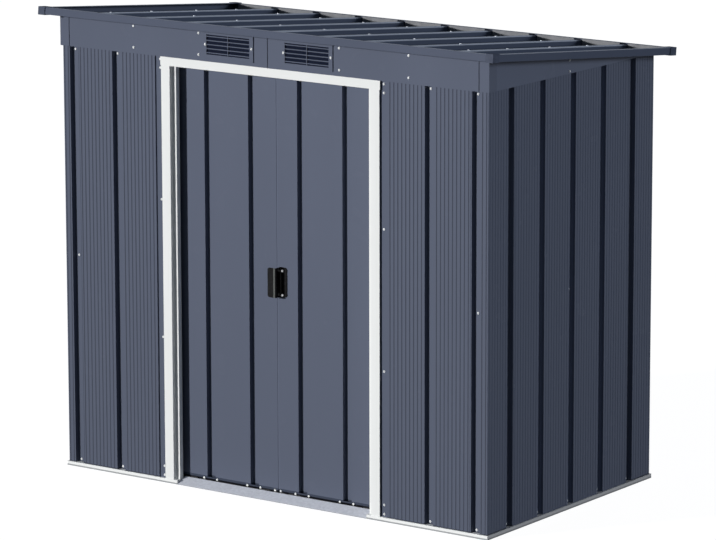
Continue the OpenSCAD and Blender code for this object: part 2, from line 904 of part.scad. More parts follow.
base_rail_front();
base_rail_back();
base_rail_left();
base_rail_right();
door_floor_track();
door_sill();
front_panel_left();
front_panel_right();
front_corner_left();
front_corner_right();
side_panel_left();
side_panel_right();
back_corner_left();
back_corner_right();
back_panel_left();
back_panel_right();
mid_rails();
door_jamb_left();
door_jamb_right();
door_header();
front_top_rail();
back_top_rail();
side_top_rails();
door_top_track();
fascia_left();
fascia_right();
fascia_corners();
vent_left();
vent_right();
gable_left();
gable_right();
roof_beams();
roof_sheet_left();
roof_sheet_right();
roof_trim_front();
roof_trim_back();
roof_trim_left();
roof_trim_right();
roof_corner_caps();
left_door_panel();
left_door_rails();
left_door_glides();
right_door_panel();
right_door_rails();
right_door_glides();
door_handle();
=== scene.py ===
"""A metal storage shed with a pent roof and two sliding doors: finishes, fixings and studio, in metres."""

import bpy
import numpy as np
from mathutils import Matrix, Vector


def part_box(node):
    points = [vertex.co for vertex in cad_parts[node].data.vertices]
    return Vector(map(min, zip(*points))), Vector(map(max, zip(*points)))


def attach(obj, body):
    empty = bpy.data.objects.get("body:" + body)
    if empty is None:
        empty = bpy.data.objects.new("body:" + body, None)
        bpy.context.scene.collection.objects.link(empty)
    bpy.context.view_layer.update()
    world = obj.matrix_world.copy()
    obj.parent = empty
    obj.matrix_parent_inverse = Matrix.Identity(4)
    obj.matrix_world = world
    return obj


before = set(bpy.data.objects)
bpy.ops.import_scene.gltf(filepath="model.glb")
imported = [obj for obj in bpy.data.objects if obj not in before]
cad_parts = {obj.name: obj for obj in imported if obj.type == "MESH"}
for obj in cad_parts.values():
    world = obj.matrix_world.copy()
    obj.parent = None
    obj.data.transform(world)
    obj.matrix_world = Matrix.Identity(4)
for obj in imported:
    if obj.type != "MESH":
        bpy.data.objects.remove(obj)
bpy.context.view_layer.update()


# Studio: a dim room and a matt floor at ground level, both seen as white, though not inside the shed.
# A low key lamp stands far off at the front left, and weaker and softer ones at the right and the back.
# The camera stands 17 m off at the front right and 4 m up, with a long lens.
scene = bpy.context.scene
scene.view_settings.view_transform = "Standard"


def add_node(tree, kind, values=None, operation=None):
    """A new node of a tree, with its input sockets set from a dict, and its operation if it has one."""
    node = tree.nodes.new(kind)
    if operation:
        node.operation = operation
    for socket, value in (values or {}).items():
        node.inputs[socket].default_value = value
    return node


def seen_directly(tree):
    """Socket that is 1 for camera, glossy and transmission rays and 0 for the light that falls on things."""
    path = add_node(tree, "ShaderNodeLightPath")
    socket = path.outputs["Is Camera Ray"]
    for ray in ("Is Glossy Ray", "Is Transmission Ray"):
        largest = add_node(tree, "ShaderNodeMath", operation="MAXIMUM")
        tree.links.new(socket, largest.inputs[0])
        tree.links.new(path.outputs[ray], largest.inputs[1])
        socket = largest.outputs[0]
    return socket


def axis_part(tree, vector, axis):
    """Socket of a vector socket's part along one axis."""
    parts = add_node(tree, "ShaderNodeSeparateXYZ")
    tree.links.new(vector, parts.inputs["Vector"])
    return parts.outputs[axis]


def add_piece(name, points, faces):
    """A new object at the origin whose mesh has these points and faces."""
    mesh = bpy.data.meshes.new(name)
    mesh.from_pydata(points, [], faces)
    piece = bpy.data.objects.new(name, mesh)
    scene.collection.objects.link(piece)
    return piece


room_light = 0.085
room_tint = (0.8, 1.0, 1.3, 1)
room = bpy.data.worlds.new("studio_room")
room.use_nodes = True
room.node_tree.nodes.clear()
dim = add_node(room.node_tree, "ShaderNodeBackground", {"Color": room_tint, "Strength": room_light})
white = add_node(room.node_tree, "ShaderNodeBackground", {"Color": (1, 1, 1, 1), "Strength": 1.0})
choice = add_node(room.node_tree, "ShaderNodeMixShader")
room.node_tree.links.new(seen_directly(room.node_tree), choice.inputs[0])
room.node_tree.links.new(dim.outputs[0], choice.inputs[1])
room.node_tree.links.new(white.outputs[0], choice.inputs[2])
room_out = add_node(room.node_tree, "ShaderNodeOutputWorld")
room.node_tree.links.new(choice.outputs[0], room_out.inputs["Surface"])
scene.world = room

floor_half = 60.0
floor_corners = floor_half * np.array([(-1, -1, 0), (1, -1, 0), (1, 1, 0), (-1, 1, 0)])
studio_floor = add_piece("studio_floor", floor_corners.tolist(), [(0, 1, 2, 3)])
floor_paint = bpy.data.materials.new("studio_floor_paint")
floor_paint.use_nodes = True
floor_tree = floor_paint.node_tree
floor_tree.nodes.clear()
floor_tone = 0.2
floor_glow = 0.96
matt = add_node(floor_tree, "ShaderNodeBsdfDiffuse", {"Color": (floor_tone, floor_tone, floor_tone, 1)})
glow = add_node(floor_tree, "ShaderNodeEmission", {"Color": (floor_glow, floor_glow, floor_glow, 1)})
floor_where = add_node(floor_tree, "ShaderNodeTexCoord").outputs["Object"]
indoors_x = (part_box("base_rail_left")[1].x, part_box("base_rail_right")[0].x)
indoors_y = (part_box("door_floor_track")[0].y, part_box("base_rail_back")[0].y)
indoors = add_node(floor_tree, "ShaderNodeMath", operation="MULTIPLY")
for factor, (axis, (low, high)) in enumerate((("X", indoors_x), ("Y", indoors_y))):
    between = add_node(floor_tree, "ShaderNodeMath", {1: (low + high) / 2, 2: (high - low) / 2}, "COMPARE")
    floor_tree.links.new(axis_part(floor_tree, floor_where, axis), between.inputs[0])
    floor_tree.links.new(between.outputs[0], indoors.inputs[factor])
outdoors = add_node(floor_tree, "ShaderNodeMath", operation="GREATER_THAN")
floor_tree.links.new(seen_directly(floor_tree), outdoors.inputs[0])
floor_tree.links.new(indoors.outputs[0], outdoors.inputs[1])
floor_tree.links.new(outdoors.outputs[0], glow.inputs["Strength"])
both = add_node(floor_tree, "ShaderNodeAddShader")
floor_tree.links.new(matt.outputs[0], both.inputs[0])
floor_tree.links.new(glow.outputs[0], both.inputs[1])
floor_out = add_node(floor_tree, "ShaderNodeOutputMaterial")
floor_tree.links.new(both.outputs[0], floor_out.inputs["Surface"])
studio_floor.data.materials.append(floor_paint)


def add_sun(name, towards, strength, width, tint):
    """A far lamp: towards points from the shed to the lamp, width is the angle in degrees that it fills."""
    lamp = bpy.data.lights.new(name, "SUN")
    lamp.energy = strength
    lamp.color = tint
    lamp.angle = np.radians(width)
    holder = bpy.data.objects.new(name, lamp)
    holder.rotation_euler = Vector(towards).to_track_quat("Z", "Y").to_euler()
    scene.collection.objects.link(holder)


add_sun("key_lamp", (-0.551, -0.816, 0.170), 3.4, 4.0, (1.0, 1.0, 1.0))
add_sun("side_lamp", (0.75, 0.64, 0.17), 1.3, 16.0, (0.93, 1.0, 1.1))
add_sun("back_lamp", (-0.25, 0.97, 0.03), 1.6, 16.0, (1.0, 1.0, 1.0))

rail_low, rail_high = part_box("base_rail_left")
wall_middle = (rail_low.y + rail_high.y) / 2
ledge = 0.016
camera_place = np.array([9.4282, wall_middle - 13.1938, ledge + 4.1067])
turn, lift, roll = np.radians([35.5368, 11.6747, -0.1246])
ahead = np.array([-np.sin(turn) * np.cos(lift), np.cos(turn) * np.cos(lift), -np.sin(lift)])
level = np.array([np.cos(turn), np.sin(turn), 0.0])
upright = np.cross(level, ahead)
right = level * np.cos(roll) + upright * np.sin(roll)
up = upright * np.cos(roll) - level * np.sin(roll)
lens = bpy.data.cameras.new("camera")
lens.sensor_width = 36.0
lens.sensor_fit = "HORIZONTAL"
lens.lens = 223.61
lens.clip_end = 200.0
camera = bpy.data.objects.new("camera", lens)
pose = np.eye(4)
pose[:3] = np.column_stack([right, up, -ahead, camera_place])
camera.matrix_world = Matrix(pose.tolist())
scene.collection.objects.link(camera)
scene.camera = camera


# Base rails: four rails of folded steel on the ground, mitred at the corners, painted off-white.
# The walls stand on their ledges. White plugs close the front rail's cut ends just inside the door jambs.
# The rails' lowest edge is grey with a painted shade line. The front rail is painted a lighter copy of
# the white as painted light, and the rails at the sides and the back a duller copy as painted shade.
def linear(red, green, blue):
    """Linear colour of an 8-bit display colour: the display's power curve undone on each share of 255."""
    share = np.array([red, green, blue]) / 255
    return (*((share + 0.055) / 1.055) ** 2.4, 1.0)


def toned(colour, factor):
    """The same colour, lighter or darker by a factor."""
    return (*(np.array(colour[:3]) * factor), 1.0)


def new_finish(name):
    """A material with its node tree, its shader and a socket of Object coordinates."""
    material = bpy.data.materials.new(name)
    material.use_nodes = True
    tree = material.node_tree
    where = add_node(tree, "ShaderNodeTexCoord").outputs["Object"]
    return material, tree, tree.nodes["Principled BSDF"], where


def noise(tree, where, scale, detail=2.0, stretch=(1, 1, 1)):
    """Factor socket of a noise of so many waves a metre, drawn out along the axes whose stretch is small."""
    mapping = add_node(tree, "ShaderNodeMapping", {"Scale": stretch})
    pattern = add_node(tree, "ShaderNodeTexNoise", {"Scale": scale, "Detail": detail})
    tree.links.new(where, mapping.inputs["Vector"])
    tree.links.new(mapping.outputs["Vector"], pattern.inputs["Vector"])
    return pattern.outputs["Fac"]


def blend_tones(tree, factor, dark, light, low=0.3, high=0.7):
    """Colour socket that runs from the dark tone at the low factor to the light tone at the high one."""
    ramp = add_node(tree, "ShaderNodeValToRGB")
    ramp.color_ramp.elements[0].position = low
    ramp.color_ramp.elements[0].color = dark
    ramp.color_ramp.elements[1].position = high
    ramp.color_ramp.elements[1].color = light
    tree.links.new(factor, ramp.inputs["Fac"])
    return ramp.outputs["Color"]


def spread(tree, factor, low, high):
    """Value socket that takes the middle part of a noise to the range from low to high."""
    limits = {"From Min": 0.3, "From Max": 0.7, "To Min": low, "To Max": high}
    reach = add_node(tree, "ShaderNodeMapRange", limits)
    tree.links.new(factor, reach.inputs["Value"])
    return reach.outputs["Result"]


def add_bump(tree, shader, height, strength, depth):
    """Raises the shader's surface by a height socket, depth metres at its strongest."""
    bump = add_node(tree, "ShaderNodeBump", {"Strength": strength, "Distance": depth})
    tree.links.new(height, bump.inputs["Height"])
    tree.links.new(bump.outputs["Normal"], shader.inputs["Normal"])


def baked_paint(name, colour, drift, sheen, specular):
    """Baked paint on rolled steel, as a material, its tree, its shader and its coordinates.

    Tone drifts by the share drift in streaks about 0.4 m wide that run up the sheet, roughness wanders
    across the range sheen in hand-sized patches, and an orange peel of about 2 mm lies over all.
    """
    streak_waves, patch_waves, peel_waves = 2.6, 11.0, 480.0
    peel_strength, peel_depth = 0.25, 0.00006
    material, tree, shader, where = new_finish(name)
    streaks = noise(tree, where, streak_waves, 3.0, (1, 1, 0.35))
    tone = blend_tones(tree, streaks, toned(colour, 1 - drift), toned(colour, 1 + drift))
    tree.links.new(tone, shader.inputs["Base Color"])
    tree.links.new(spread(tree, noise(tree, where, patch_waves), *sheen), shader.inputs["Roughness"])
    add_bump(tree, shader, noise(tree, where, peel_waves), peel_strength, peel_depth)
    shader.inputs["Specular IOR Level"].default_value = specular
    return material, tree, shader, where


def along_axis(tree, where, axis, start, end):
    """Value socket that climbs from 0 at the start to 1 at the end of a stretch along one axis."""
    climb = add_node(tree, "ShaderNodeMapRange", {"From Min": start, "From Max": end})
    tree.links.new(axis_part(tree, where, axis), climb.inputs["Value"])
    return climb.outputs["Result"]


def overlay(tree, shader, mask, tone):
    """Lays a tone over the shader's colour where the mask socket is 1."""
    colour = shader.inputs["Base Color"]
    mix = tree.nodes.new("ShaderNodeMix")
    mix.data_type = "RGBA"
    tree.links.new(mask, mix.inputs[0])
    tree.links.new(colour.links[0].from_socket, mix.inputs[6])
    mix.inputs[7].default_value = tone
    tree.links.new(mix.outputs[2], colour)


def dress(material, *names):
    """Gives the shed's solid pieces of these names a finish, through their material slots."""
    for name in names:
        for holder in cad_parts[name].material_slots:
            holder.material = material


def plates(name, starts, ends, depth, height, tilt=0.0, place=(0, 0, 0)):
    """A row of plates in one mesh: each is the unit cube, stretched along X from its start to its end.

    Along Y and Z all are stretched over the ranges depth and height. The row is then tilted about X, down
    towards +Y, by the angle tilt, and moved to its place.
    """
    lows = np.stack(np.broadcast_arrays(starts, depth[0], height[0]), -1)
    highs = np.stack(np.broadcast_arrays(ends, depth[1], height[1]), -1)
    unit = np.array([(0, 0, 0), (1, 0, 0), (1, 1, 0), (0, 1, 0), (0, 0, 1), (1, 0, 1), (1, 1, 1), (0, 1, 1)])
    sides = np.array([(3, 2, 1, 0), (4, 5, 6, 7), (0, 1, 5, 4), (1, 2, 6, 5), (2, 3, 7, 6), (3, 0, 4, 7)])
    turned = np.array([(1, 0, 0), (0, np.cos(tilt), np.sin(tilt)), (0, -np.sin(tilt), np.cos(tilt))])
    points = (lows[:, None] + unit * (highs - lows)[:, None]) @ turned.T + np.asarray(place)
    faces = sides + len(unit) * np.arange(len(lows))[:, None, None]
    return add_piece(name, points.reshape(-1, 3).tolist(), faces.reshape(-1, 4).tolist())


# One off-white paint: a lighter copy on the front rail and a duller one on the others, as painted light and
# shade.
off_white, lit_rail_white, shaded_rail_white = linear(234, 235, 233), linear(243, 244, 242), linear(184, 182, 180)
white_drift, white_sheen, rail_specular = 0.02, (0.35, 0.45), 0.1
shade_line_top, shade_line_bottom = 0.0064, 0.0052
for name, paint, grey, rails in (
    ("front_rail_paint", lit_rail_white, linear(164, 166, 168), ["front"]),
    ("side_rail_paint", shaded_rail_white, linear(136, 135, 134), ["back", "left", "right"]),
):
    rail_paint, rail_tree, rail_shader, rail_where = baked_paint(
        name, paint, white_drift, white_sheen, rail_specular
    )
    # Painted shade: a grey line along the rails' foot, where they meet the ground.
    overlay(rail_tree, rail_shader, along_axis(rail_tree, rail_where, "Z", shade_line_top, shade_line_bottom), grey)
    dress(rail_paint, *("base_rail_" + rail for rail in rails))

rail_front, sill_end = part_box("base_rail_front")[0].y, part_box("door_sill")[1].x
rail_steel, plug_reach = 0.0013, 0.0240
plug_near, plug_far = sill_end + 0.0008, sill_end + 0.0030
plug_depth = (rail_front + rail_steel, rail_front + plug_reach)
plug_height = (rail_steel, ledge - rail_steel)
rail_plugs = plates("rail_plugs", (-plug_far, plug_near), (-plug_near, plug_far), plug_depth, plug_height)
rail_plugs.data.materials.append(
    baked_paint("plug_white", off_white, white_drift, white_sheen, rail_specular)[0]
)
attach(rail_plugs, "shed")


# Door sill and floor track: bare galvanised steel, the sill folded to a low ramp between the jambs.
# The doors' glides run on the flat track behind it. Zinc shows its crystals.
# The sill's foot is darker: a painted shade line where it meets the ground.
def zinc_coat(name, colour, metallic, crystal=0.009):
    """Hot-dip zinc: cells of about the given width, each of its own tone and roughness, and shallow dents."""
    darkest, lightest, sheen = 0.94, 1.05, (0.42, 0.56)
    dent_waves, dent_strength, dent_depth = 60.0, 0.15, 0.0002
    material, tree, shader, where = new_finish(name)
    cells = add_node(tree, "ShaderNodeTexVoronoi", {"Scale": 1 / crystal})
    tree.links.new(where, cells.inputs["Vector"])
    shade = add_node(tree, "ShaderNodeSeparateColor")
    tree.links.new(cells.outputs["Color"], shade.inputs["Color"])
    tone = blend_tones(tree, shade.outputs["Red"], toned(colour, darkest), toned(colour, lightest), 0.0, 1.0)
    tree.links.new(tone, shader.inputs["Base Color"])
    tree.links.new(spread(tree, shade.outputs["Green"], *sheen), shader.inputs["Roughness"])
    add_bump(tree, shader, noise(tree, where, dent_waves), dent_strength, dent_depth)
    shader.inputs["Metallic"].default_value = metallic
    return material, tree, shader, where


zinc = zinc_coat("galvanised_zinc", linear(196, 199, 208), 0.35)[0]
sill_zinc, sill_tree, sill_shader, sill_where = zinc_coat("sill_zinc", linear(224, 227, 236), 0.1)
# Painted shade: a darker band along the sill's foot.
sill_shade_top, sill_shade_bottom = 0.0034, 0.0026
sill_shade = along_axis(sill_tree, sill_where, "Z", sill_shade_top, sill_shade_bottom)
overlay(sill_tree, sill_shader, sill_shade, linear(150, 153, 160))
dress(sill_zinc, "door_sill")
dress(zinc, "door_floor_track")


# Walls: rolled steel sheets with wide grooves 200 mm apart and fine lines between them, painted slate grey.
# The corner sheets wrap round and tuck under the flat ones, and all stand on the base rails.
# Painted shade darkens the fine lines and the feet, painted light makes the side sheets' groove floors
# paler, and a painted gradient leaves the paint lightest at the head and darker towards the ground.
def fine_lines(tree):
    """Mask socket of the fine lines: there the sides slant, and the normal's share of Y is about 0.93."""
    slant_low, slant_high = 0.85, 0.97
    normal = add_node(tree, "ShaderNodeNewGeometry").outputs["True Normal"]
    share = add_node(tree, "ShaderNodeMath", operation="ABSOLUTE")
    tree.links.new(axis_part(tree, normal, "Y"), share.inputs[0])
    steps = add_node(tree, "ShaderNodeValToRGB")
    steps.color_ramp.interpolation = "CONSTANT"
    steps.color_ramp.elements[0].color = (0, 0, 0, 1)
    steps.color_ramp.elements[1].position = slant_high
    steps.color_ramp.elements[1].color = (0, 0, 0, 1)
    steps.color_ramp.elements.new(slant_low).color = (1, 1, 1, 1)
    tree.links.new(share.outputs[0], steps.inputs["Fac"])
    return steps.outputs["Color"]


wall_slate = linear(93, 99, 115)
wall_head, lit_head_share, shaded_foot_share = 1.6, 1.04, 0.92
slate_drift, slate_sheen, slate_specular = 0.03, (0.2, 0.28), 0.03


def slate_coat(name, tone=wall_slate):
    """The walls' baked slate paint, with painted light: a little lighter at the head, darker at the foot."""
    material, tree, shader, where = baked_paint(
        name, toned(tone, lit_head_share), slate_drift, slate_sheen, slate_specular
    )
    # Painted light and shade: the slate darkens from the wall's head towards the ground.
    overlay(tree, shader, along_axis(tree, where, "Z", wall_head, 0.0), toned(tone, shaded_foot_share))
    return material, tree, shader, where


slate_paint = slate_coat("slate_paint")[0]
wall_paint, wall_tree, wall_shader, wall_where = slate_coat("wall_paint")
# Painted shade: the fine lines' slanted sides are darkened to two thirds of the slate.
overlay(wall_tree, wall_shader, fine_lines(wall_tree), toned(wall_slate, 0.66))
# Painted shade: a dark line along the sheets' foot, just above the rails' ledges.
wall_shade_top, wall_shade_bottom = ledge + 0.0036, ledge + 0.0026
wall_foot_shade = along_axis(wall_tree, wall_where, "Z", wall_shade_top, wall_shade_bottom)
overlay(wall_tree, wall_shader, wall_foot_shade, toned(wall_slate, 0.4))
dress(wall_paint, "front_panel_left", "front_panel_right", "back_panel_left", "back_panel_right")
dress(wall_paint, "front_corner_left", "front_corner_right", "back_corner_left", "back_corner_right")
# Painted light: the side sheets' groove floors are painted paler, as if lit.
flank_out, flank_in = 0.946, 0.938
for side, name in ((-1, "side_panel_left"), (1, "side_panel_right")):
    side_paint, side_tree, side_shader, side_where = slate_coat(name + "_paint")
    lit_groove_floor = along_axis(side_tree, side_where, "X", side * flank_out, side * flank_in)
    overlay(side_tree, side_shader, lit_groove_floor, toned(wall_slate, 1.5))
    dress(side_paint, name)


# Inner rails: galvanised channels and angles behind the walls, at mid height, under the roof and over
# the doors. They are screwed through the grooves, and show only through the open doorway.
dress(zinc, "mid_rails", "front_top_rail", "back_top_rail", "side_top_rails", "door_top_track")


# Door frame: two jambs and a header of folded steel, painted off-white like the base.
# The jambs hook over the cut edges of the front sheets, and the header lies across their tops.
# A packing strip of painted steel fills most of the groove beside each jamb, for its screws.
white_paint = baked_paint("white_paint", off_white, white_drift, white_sheen, 0.2)[0]
dress(white_paint, "door_jamb_left", "door_jamb_right", "door_header")


def upright_bar(name, ring, low, high):
    """A bar along Z: a closed ring of plan points, anticlockwise, stands at its low and high ends.

    Quads join each point of the lower ring and the next one to the two above them, and two caps close it.
    """
    ring = np.asarray(ring, float)
    count = len(ring)
    points = np.concatenate([np.column_stack([ring, np.full(count, z)]) for z in (low, high)])
    here = np.arange(count)
    after = (here + 1) % count
    quads = np.stack([here, after, after + count, here + count], -1).tolist()
    caps = [here[::-1].tolist(), (here + count).tolist()]
    return add_piece(name, points.tolist(), quads + caps)


front_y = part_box("front_panel_left")[0].y
groove_pitch, groove_width, groove_depth, groove_flank = 0.2, 0.038, 0.015, 0.003
jamb_groove = 2.5 * groove_pitch
strip_depth, strip_gap = 0.0045, 0.0002
strip_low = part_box("door_jamb_left")[0].z
strip_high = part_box("door_header")[1].z
strip_y = np.array([groove_depth - strip_gap, groove_depth - strip_gap, strip_depth, strip_depth])
strip_half = groove_width / 2 - groove_flank * strip_y / groove_depth - strip_gap
strip_ring = np.column_stack([strip_half * np.array([1, -1, -1, 1]), front_y + strip_y])
for side, name in ((-1, "left_jamb_strip"), (1, "right_jamb_strip")):
    jamb_strip = upright_bar(name, strip_ring + (side * jamb_groove, 0), strip_low, strip_high)
    jamb_strip.data.materials.append(slate_paint)
    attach(jamb_strip, "shed")


# Fascia and gables: painted sheet over the doorway and down both sides under the roof's slope.
# Two moulded vents with thin blades close the holes in the fascia, and a dark fly screen is glued
# behind each hole; its dark tone is painted shade, standing for the shade in the cavity behind.
dress(slate_paint, "fascia_left", "fascia_right", "fascia_corners")
# Painted light: the gables carry a lighter copy of the walls' slate, as if lit.
dress(slate_coat("lit_gable_paint", toned(wall_slate, 1.14))[0], "gable_left", "gable_right")
dress(slate_paint, "vent_left", "vent_right")


def moulded(name, colour, sheen, specular, grain=0.0012):
    """Moulded plastic: a fine grain of about the given width, over tone and sheen that vary a little."""
    tone_waves, sheen_waves = 40.0, 90.0
    darkest, lightest = 0.88, 1.12
    grain_strength, grain_depth = 0.4, 0.0001
    material, tree, shader, where = new_finish(name)
    tone = blend_tones(tree, noise(tree, where, tone_waves), toned(colour, darkest), toned(colour, lightest))
    tree.links.new(tone, shader.inputs["Base Color"])
    tree.links.new(spread(tree, noise(tree, where, sheen_waves), *sheen), shader.inputs["Roughness"])
    add_bump(tree, shader, noise(tree, where, 1 / grain), grain_strength, grain_depth)
    shader.inputs["Specular IOR Level"].default_value = specular
    return material, tree, shader, where


fascia_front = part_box("fascia_left")[0].y
vent_low, vent_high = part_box("vent_right")
vent_middle = (vent_low + vent_high) / 2
screen_half_x, screen_half_z = 0.103, 0.043
screen_x = np.array([-vent_middle.x, vent_middle.x])
screen_depth = (fascia_front + 0.0009, fascia_front + 0.0019)
screen_height = (vent_middle.z - screen_half_z, vent_middle.z + screen_half_z)
# Painted shade: the screens' dark tone stands for the shade inside the fascia.
vent_screens = plates(
    "vent_screens", screen_x - screen_half_x, screen_x + screen_half_x, screen_depth, screen_height
)
vent_screens.data.materials.append(moulded("shade_screen_mesh", linear(28, 33, 48), (0.6, 0.7), 0.0)[0])
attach(vent_screens, "shed")


# Roof: two ribbed sheets lapped on the middle rib, on two galvanised beams, in a trim of folded channels.
# The paint is a shade darker than the walls', and a painted reflection makes the tops of the ribs and
# the trim pale.
# Grey foam closes the mouth of the back trim between the ribs, and moulded caps close the four corners.
roof_pitch = np.radians(6.07)
rib_height = 0.018
sheet_low, sheet_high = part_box("roof_sheet_left")
crest_start = sheet_low.y + rib_height * np.sin(roof_pitch)
crest_height = sheet_high.z + crest_start * np.tan(roof_pitch)
crest_fade = (crest_height - 0.0045, crest_height - 0.0025)


def crests(tree, where):
    """Mask socket of the ribs' crests, where Z plus Y times the slope comes near its largest value."""
    height = add_node(tree, "ShaderNodeMath", {1: np.tan(roof_pitch)}, "MULTIPLY_ADD")
    tree.links.new(axis_part(tree, where, "Y"), height.inputs[0])
    tree.links.new(axis_part(tree, where, "Z"), height.inputs[2])
    reach = add_node(tree, "ShaderNodeMapRange", dict(zip(("From Min", "From Max"), crest_fade)))
    tree.links.new(height.outputs[0], reach.inputs["Value"])
    return reach.outputs["Result"]


def tops(tree):
    """Mask socket of the faces that look up, whose normal has nearly all its length in Z."""
    nearly_all = 0.9
    normal = add_node(tree, "ShaderNodeNewGeometry").outputs["True Normal"]
    above = add_node(tree, "ShaderNodeMath", {1: nearly_all}, "GREATER_THAN")
    tree.links.new(axis_part(tree, normal, "Z"), above.inputs[0])
    return above.outputs[0]


trim_slate, roof_slate = linear(89, 95, 111), linear(80, 87, 103)
roof_drift, roof_sheen, roof_specular = 0.03, (0.3, 0.4), 0.0
roof_paint, roof_tree, roof_shader, roof_where = baked_paint(
    "roof_paint", roof_slate, roof_drift, roof_sheen, roof_specular
)
# Painted reflection: a pale tone on the ribs' crests stands for the sheen of the sky.
overlay(roof_tree, roof_shader, crests(roof_tree, roof_where), linear(178, 183, 194))
dress(zinc, "roof_beams")
dress(roof_paint, "roof_sheet_left", "roof_sheet_right")
for name, painted_sheen_tone, trims in (
    ("trim_paint", linear(172, 176, 186), ["front", "left", "right"]),
    ("back_trim_paint", linear(172, 172, 176), ["back"]),
):
    trim_coat = baked_paint(name, trim_slate, roof_drift, roof_sheen, roof_specular)
    trim_paint, trim_tree, trim_shader = trim_coat[:3]
    # Painted reflection: a pale tone on the trims' upward faces.
    overlay(trim_tree, trim_shader, tops(trim_tree), painted_sheen_tone)
    dress(trim_paint, *("roof_trim_" + trim for trim in trims))
cap_plastic = moulded("cap_plastic", toned(trim_slate, 0.85), roof_sheen, roof_specular)[0]
dress(cap_plastic, "roof_corner_caps")

rib_x = np.arange(-4, 5) * groove_pitch
rib_half, trim_reach, trim_height = 0.0185, 0.025, 0.026
foam_ends = 0.979
foam_start = np.concatenate([[-foam_ends], rib_x + rib_half])
foam_end = np.concatenate([rib_x - rib_half, [foam_ends]])
foam_depth, foam_height = (0.002, 0.006), (0.0024, trim_height - 0.0014)
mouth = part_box("roof_trim_back")[0]
mouth_foot = (0, mouth.y, mouth.z + trim_reach * np.sin(roof_pitch))
foam = plates("roof_closers", foam_start, foam_end, foam_depth, foam_height, roof_pitch, mouth_foot)
foam.data.materials.append(moulded("closer_foam", linear(130, 131, 134), (0.6, 0.7), 0.0)[0])
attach(foam, "shed")


# Doors: two grooved sheets with folded edges, dark rails at foot and head, and black nylon glides.
# They slide apart behind the front sheets, and a narrow lip on the right one closes the gap where they meet.
# The sheets' feet are painted as dark as the rails, and the rails' own feet carry a nearly black painted
# shadow of the gap above the sill.
dark_slate = linear(60, 66, 80)
sheet_foot_top, sheet_foot_bottom = 0.0385, 0.0375
rail_shadow_top, rail_shadow_bottom = 0.0302, 0.0292
door_paint, door_tree, door_shader, door_where = slate_coat("door_paint", toned(wall_slate, 1.05))
sheet_foot = along_axis(door_tree, door_where, "Z", sheet_foot_top, sheet_foot_bottom)
overlay(door_tree, door_shader, sheet_foot, dark_slate)
dress(door_paint, "left_door_panel", "right_door_panel")
dark_paint, dark_tree, dark_shader, dark_where = baked_paint(
    "dark_paint", dark_slate, 0.04, (0.25, 0.35), 0.05
)
# Painted shadow: a nearly black band at the rails' foot, for the gap above the sill.
rail_shadow = along_axis(dark_tree, dark_where, "Z", rail_shadow_top, rail_shadow_bottom)
overlay(dark_tree, dark_shader, rail_shadow, linear(18, 20, 28))
dress(dark_paint, "left_door_rails", "right_door_rails")
glide_plastic = moulded("glide_plastic", linear(20, 21, 24), (0.4, 0.55), 0.3)[0]
dress(glide_plastic, "left_door_glides", "right_door_glides")


def flat_bead(middle, half):
    """Plan ring of a round-edged bead: half its size times the signed roots of cosine and sine."""
    count = 24
    turns = np.arange(count) * 2 * np.pi / count
    curve = np.stack([np.cos(turns), np.sin(turns)], -1)
    return np.asarray(middle) + np.asarray(half) * np.sign(curve) * np.sqrt(np.abs(curve))


door_low, door_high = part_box("right_door_panel")
lip_half, lip_set_back = np.array([0.0022, 0.0011]), 0.0006
lip_middle = np.array([door_low.x - lip_half[0], door_low.y + lip_half[1] + lip_set_back])
meeting_lip = upright_bar("meeting_lip", flat_bead(lip_middle, lip_half), door_low.z, door_high.z)
# Painted light: the lip carries a lighter copy of the slate, to offset the shade in the meeting gap.
meeting_lip.data.materials.append(slate_coat("lit_lip_paint", toned(wall_slate, 1.25))[0])
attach(meeting_lip, "right_door")


# Handle: one black moulding on the right door, its grip bent out over the meeting line.
# Two screws hold its flange, and a grey painted highlight lies along the bend of the grip.
handle_plastic, handle_tree, handle_shader, handle_where = moulded(
    "handle_plastic", linear(15, 15, 17), (0.2, 0.3), 0.1
)
bend_left, bend_right = (0.0040, 0.0065), (0.0122, 0.0105)
bend_out = (door_low.y - 0.025, door_low.y - 0.028)
bend_highlight = along_axis(handle_tree, handle_where, "X", *bend_left)
for axis, limits in (("X", bend_right), ("Y", bend_out)):
    product = add_node(handle_tree, "ShaderNodeMath", operation="MULTIPLY")
    handle_tree.links.new(bend_highlight, product.inputs[0])
    handle_tree.links.new(along_axis(handle_tree, handle_where, axis, *limits), product.inputs[1])
    bend_highlight = product.outputs[0]
# Painted highlight: a grey tone on the rounded bend of the grip.
overlay(handle_tree, handle_shader, bend_highlight, linear(98, 100, 98))
dress(handle_plastic, "door_handle")


